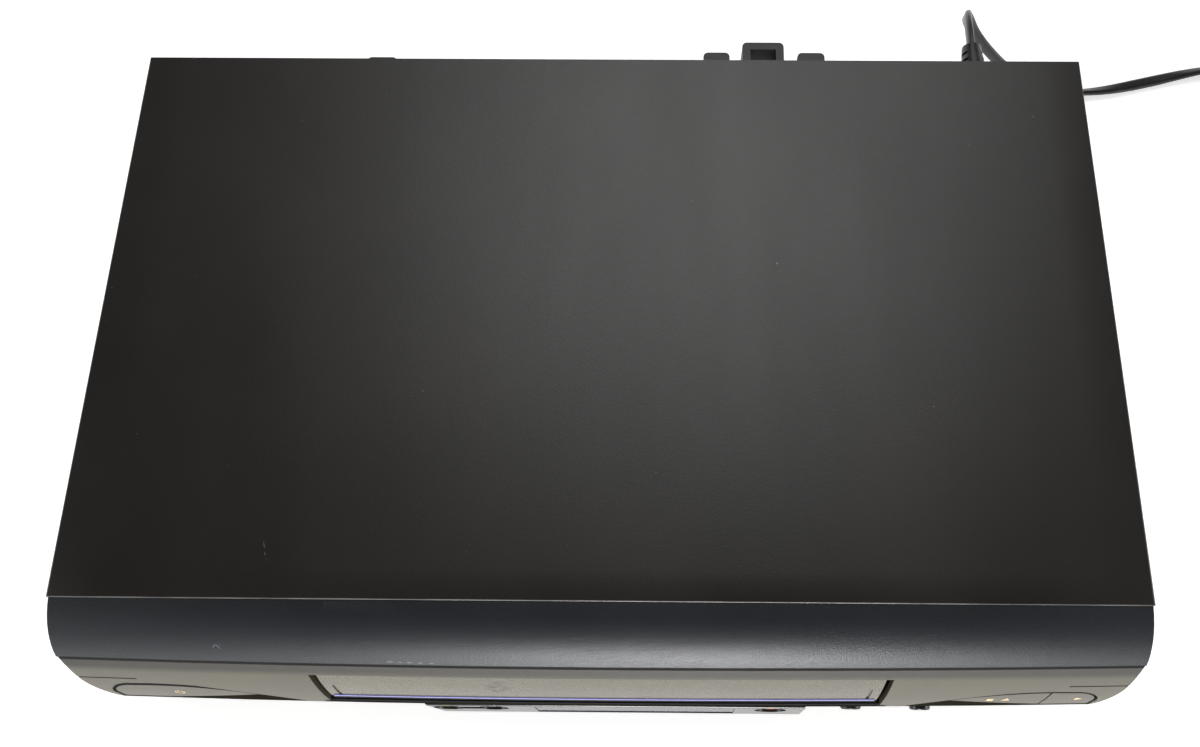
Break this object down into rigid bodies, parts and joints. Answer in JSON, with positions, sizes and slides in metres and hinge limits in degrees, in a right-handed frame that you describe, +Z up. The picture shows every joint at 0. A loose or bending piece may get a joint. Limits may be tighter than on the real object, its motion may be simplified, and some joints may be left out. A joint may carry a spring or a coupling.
{
  "type": "video cassette recorder",
  "caption": "Front-loading video cassette recorder with a sprung cassette flap, leaf-shaped keys, tape mechanism and coiled mains cord.",
  "frame": {"origin": "on the surface the feet stand on, under the middle of the deck's length and depth without its mains cord", "axes": "+X to the right seen from the front, +Y from the front to the back, +Z up"},
  "size_m": [0.5826, 0.3119, 0.088],
  "materials": {
    "cover_paint": "matt dark grey-brown paint",
    "front_plastic": "satin charcoal with a fine sparkle",
    "black_plastic": "black, fine grain",
    "gloss_plastic": "smooth, semi-gloss",
    "window": "smoked acrylic",
    "blue_trim": "blue strip",
    "zinc_steel": "zinc-plated sheet",
    "bright_metal": "nickel plate",
    "aluminium": "turned",
    "circuit_board": "paper laminate",
    "rubber": "matt",
    "cord_vinyl": "smooth black vinyl",
    "white_plastic": "moulded, natural white",
    "laminated_iron": "varnished laminations"
  },
  "bodies": {
    "deck": {"audio_control_head": "bright_metal", "base_tray": "zinc_steel", "capstan_stator": "circuit_board", "console_panel": "gloss_plastic", "cord_hook": "black_plastic", "cord_strain_relief": "cord_vinyl", "cover_screws": "bright_metal", "display_window": "window", "door_surround": "black_plastic", "drive_belt": "rubber", "drum_stator": "circuit_board", "feet": "rubber", "front_bezel": "front_plastic", "front_board": "circuit_board", "front_jacks": "bright_metal", "front_lower_panel": "front_plastic", "full_erase_head": "bright_metal", "key_surrounds": "black_plastic", "loading_belt": "rubber", "loading_motor": "bright_metal", "lower_drum": "aluminium", "main_board": "circuit_board", "mains_cord": "cord_vinyl", "mains_cord_coil": "cord_vinyl", "mains_plug": "cord_vinyl", "mechanism_chassis": "zinc_steel", "power_supply": "circuit_board", "rear_av_jacks": "black_plastic", "rear_panel": "zinc_steel", "rear_standoffs": "black_plastic", "side_frames": "zinc_steel", "tact_switches": "black_plastic", "top_cover": "cover_paint", "transformer": "laminated_iron", "tuner_module": "bright_metal"},
    "door": {"cassette_door": "gloss_plastic", "door_trim": "blue_trim"},
    "power_key": {"power_key": "front_plastic"},
    "stop_eject_key": {"stop_eject_key": "front_plastic"},
    "play_key": {"play_key": "front_plastic"},
    "record_button": {"record_button": "gloss_plastic"},
    "rewind_button": {"rewind_button": "gloss_plastic"},
    "fast_forward_button": {"fast_forward_button": "gloss_plastic"},
    "slide_frame": {"slide_frame": "zinc_steel"},
    "carrier": {"cassette_carrier": "zinc_steel"},
    "drum": {"upper_drum": "aluminium", "drum_rotor": "bright_metal"},
    "capstan": {"capstan_rotor": "bright_metal"},
    "clutch": {"clutch_pulley": "white_plastic"},
    "idler_arm": {"idler_arm": "zinc_steel"},
    "idler_wheel": {"idler_wheel": "rubber"},
    "supply_reel": {"supply_reel": "white_plastic"},
    "take_up_reel": {"take_up_reel": "white_plastic"},
    "supply_guide": {"supply_guide": "bright_metal"},
    "take_up_guide": {"take_up_guide": "bright_metal"},
    "pinch_arm": {"pinch_arm": "zinc_steel"},
    "pinch_roller": {"pinch_roller": "rubber"},
    "tension_arm": {"tension_arm": "zinc_steel"},
    "cam_gear": {"cam_gear": "white_plastic"},
    "motor_pulley": {"motor_pulley": "white_plastic"}
  },
  "joints": [
    {"name": "door_flap", "type": "hinge", "parent": "deck", "child": "door", "pos_m": [0, -0.11395, 0.07], "axis": [1, 0, 0], "range_deg": [0, 108], "stiffness_Nm_per_rad": 0.006, "springref_deg": -34.38},
    {"name": "power_press", "type": "slide", "parent": "deck", "child": "power_key", "axis": [0, 1, 0], "range_m": [0, 0.0012], "stiffness_N_per_m": 250, "springref_m": -0.0012},
    {"name": "stop_eject_press", "type": "slide", "parent": "deck", "child": "stop_eject_key", "axis": [0, 1, 0], "range_m": [0, 0.0012], "stiffness_N_per_m": 250, "springref_m": -0.0012},
    {"name": "play_press", "type": "slide", "parent": "deck", "child": "play_key", "axis": [0, 1, 0], "range_m": [0, 0.0012], "stiffness_N_per_m": 250, "springref_m": -0.0012},
    {"name": "record_press", "type": "slide", "parent": "deck", "child": "record_button", "axis": [0, 1, 0], "range_m": [0, 0.0012], "stiffness_N_per_m": 250, "springref_m": -0.0012},
    {"name": "rewind_press", "type": "slide", "parent": "deck", "child": "rewind_button", "axis": [0, 1, 0], "range_m": [0, 0.0012], "stiffness_N_per_m": 250, "springref_m": -0.0012},
    {"name": "fast_forward_press", "type": "slide", "parent": "deck", "child": "fast_forward_button", "axis": [0, 1, 0], "range_m": [0, 0.0012], "stiffness_N_per_m": 250, "springref_m": -0.0012},
    {"name": "carrier_travel", "type": "slide", "parent": "deck", "child": "slide_frame", "axis": [0, 1, 0], "range_m": [0, 0.06]},
    {"name": "carrier_drop", "type": "slide", "parent": "slide_frame", "child": "carrier", "axis": [0, 0, -1], "range_m": [0, 0.017]},
    {"name": "drum_spin", "type": "hinge", "parent": "deck", "child": "drum", "pos_m": [0, 0.06638, 0.033], "axis": [0.0872, 0, 0.9962], "continuous": true},
    {"name": "capstan_spin", "type": "hinge", "parent": "deck", "child": "capstan", "pos_m": [0.062, 0.03537, 0.0082], "axis": [0, 0, 1], "continuous": true},
    {"name": "clutch_spin", "type": "hinge", "parent": "deck", "child": "clutch", "pos_m": [0, 0.00038, 0.0082], "axis": [0, 0, 1], "continuous": true},
    {"name": "idler_swing", "type": "hinge", "parent": "deck", "child": "idler_arm", "pos_m": [0, 0.00038, 0.0162], "axis": [0, 0, 1], "range_deg": [-14, 14]},
    {"name": "idler_wheel_spin", "type": "hinge", "parent": "idler_arm", "child": "idler_wheel", "pos_m": [0, -0.02363, 0.0162], "axis": [0, 0, 1], "continuous": true},
    {"name": "supply_reel_spin", "type": "hinge", "parent": "deck", "child": "supply_reel", "pos_m": [-0.046, -0.02962, 0.018], "axis": [0, 0, 1], "continuous": true},
    {"name": "take_up_reel_spin", "type": "hinge", "parent": "deck", "child": "take_up_reel", "pos_m": [0.046, -0.02962, 0.018], "axis": [0, 0, 1], "continuous": true},
    {"name": "cam_turn", "type": "hinge", "parent": "deck", "child": "cam_gear", "pos_m": [0.084, 0.08338, 0.0162], "axis": [0, 0, 1], "range_deg": [0, 150]},
    {"name": "motor_pulley_turn", "type": "hinge", "parent": "deck", "child": "motor_pulley", "pos_m": [0.099, 0.09237, 0.0162], "axis": [0, 0, 1], "range_deg": [0, 700.01]},
    {"name": "supply_guide_swing", "type": "hinge", "parent": "deck", "child": "supply_guide", "pos_m": [0, 0.06638, 0.0162], "axis": [0, 0, -1], "range_deg": [0, 75]},
    {"name": "take_up_guide_swing", "type": "hinge", "parent": "deck", "child": "take_up_guide", "pos_m": [0, 0.06638, 0.0162], "axis": [0, 0, 1], "range_deg": [0, 75]},
    {"name": "pinch_swing", "type": "hinge", "parent": "deck", "child": "pinch_arm", "pos_m": [0.09, 0.05937, 0.0162], "axis": [0, 0, 1], "range_deg": [0, 60]},
    {"name": "pinch_roller_spin", "type": "hinge", "parent": "pinch_arm", "child": "pinch_roller", "pos_m": [0.0637, 0.07652, 0.0162], "axis": [0, 0, 1], "continuous": true},
    {"name": "tension_swing", "type": "hinge", "parent": "deck", "child": "tension_arm", "pos_m": [-0.086, 0.01137, 0.0162], "axis": [0, 0, 1], "range_deg": [-6, 6], "stiffness_Nm_per_rad": 0.02}
  ],
  "couplings": [
    {"joint": "clutch_spin", "follows": "capstan_spin", "ratio": 1.6},
    {"joint": "motor_pulley_turn", "follows": "cam_turn", "ratio": 4.6667},
    {"joint": "supply_guide_swing", "follows": "cam_turn", "ratio": 0.5},
    {"joint": "take_up_guide_swing", "follows": "cam_turn", "ratio": 0.5},
    {"joint": "pinch_swing", "follows": "cam_turn", "ratio": 0.4}
  ]
}
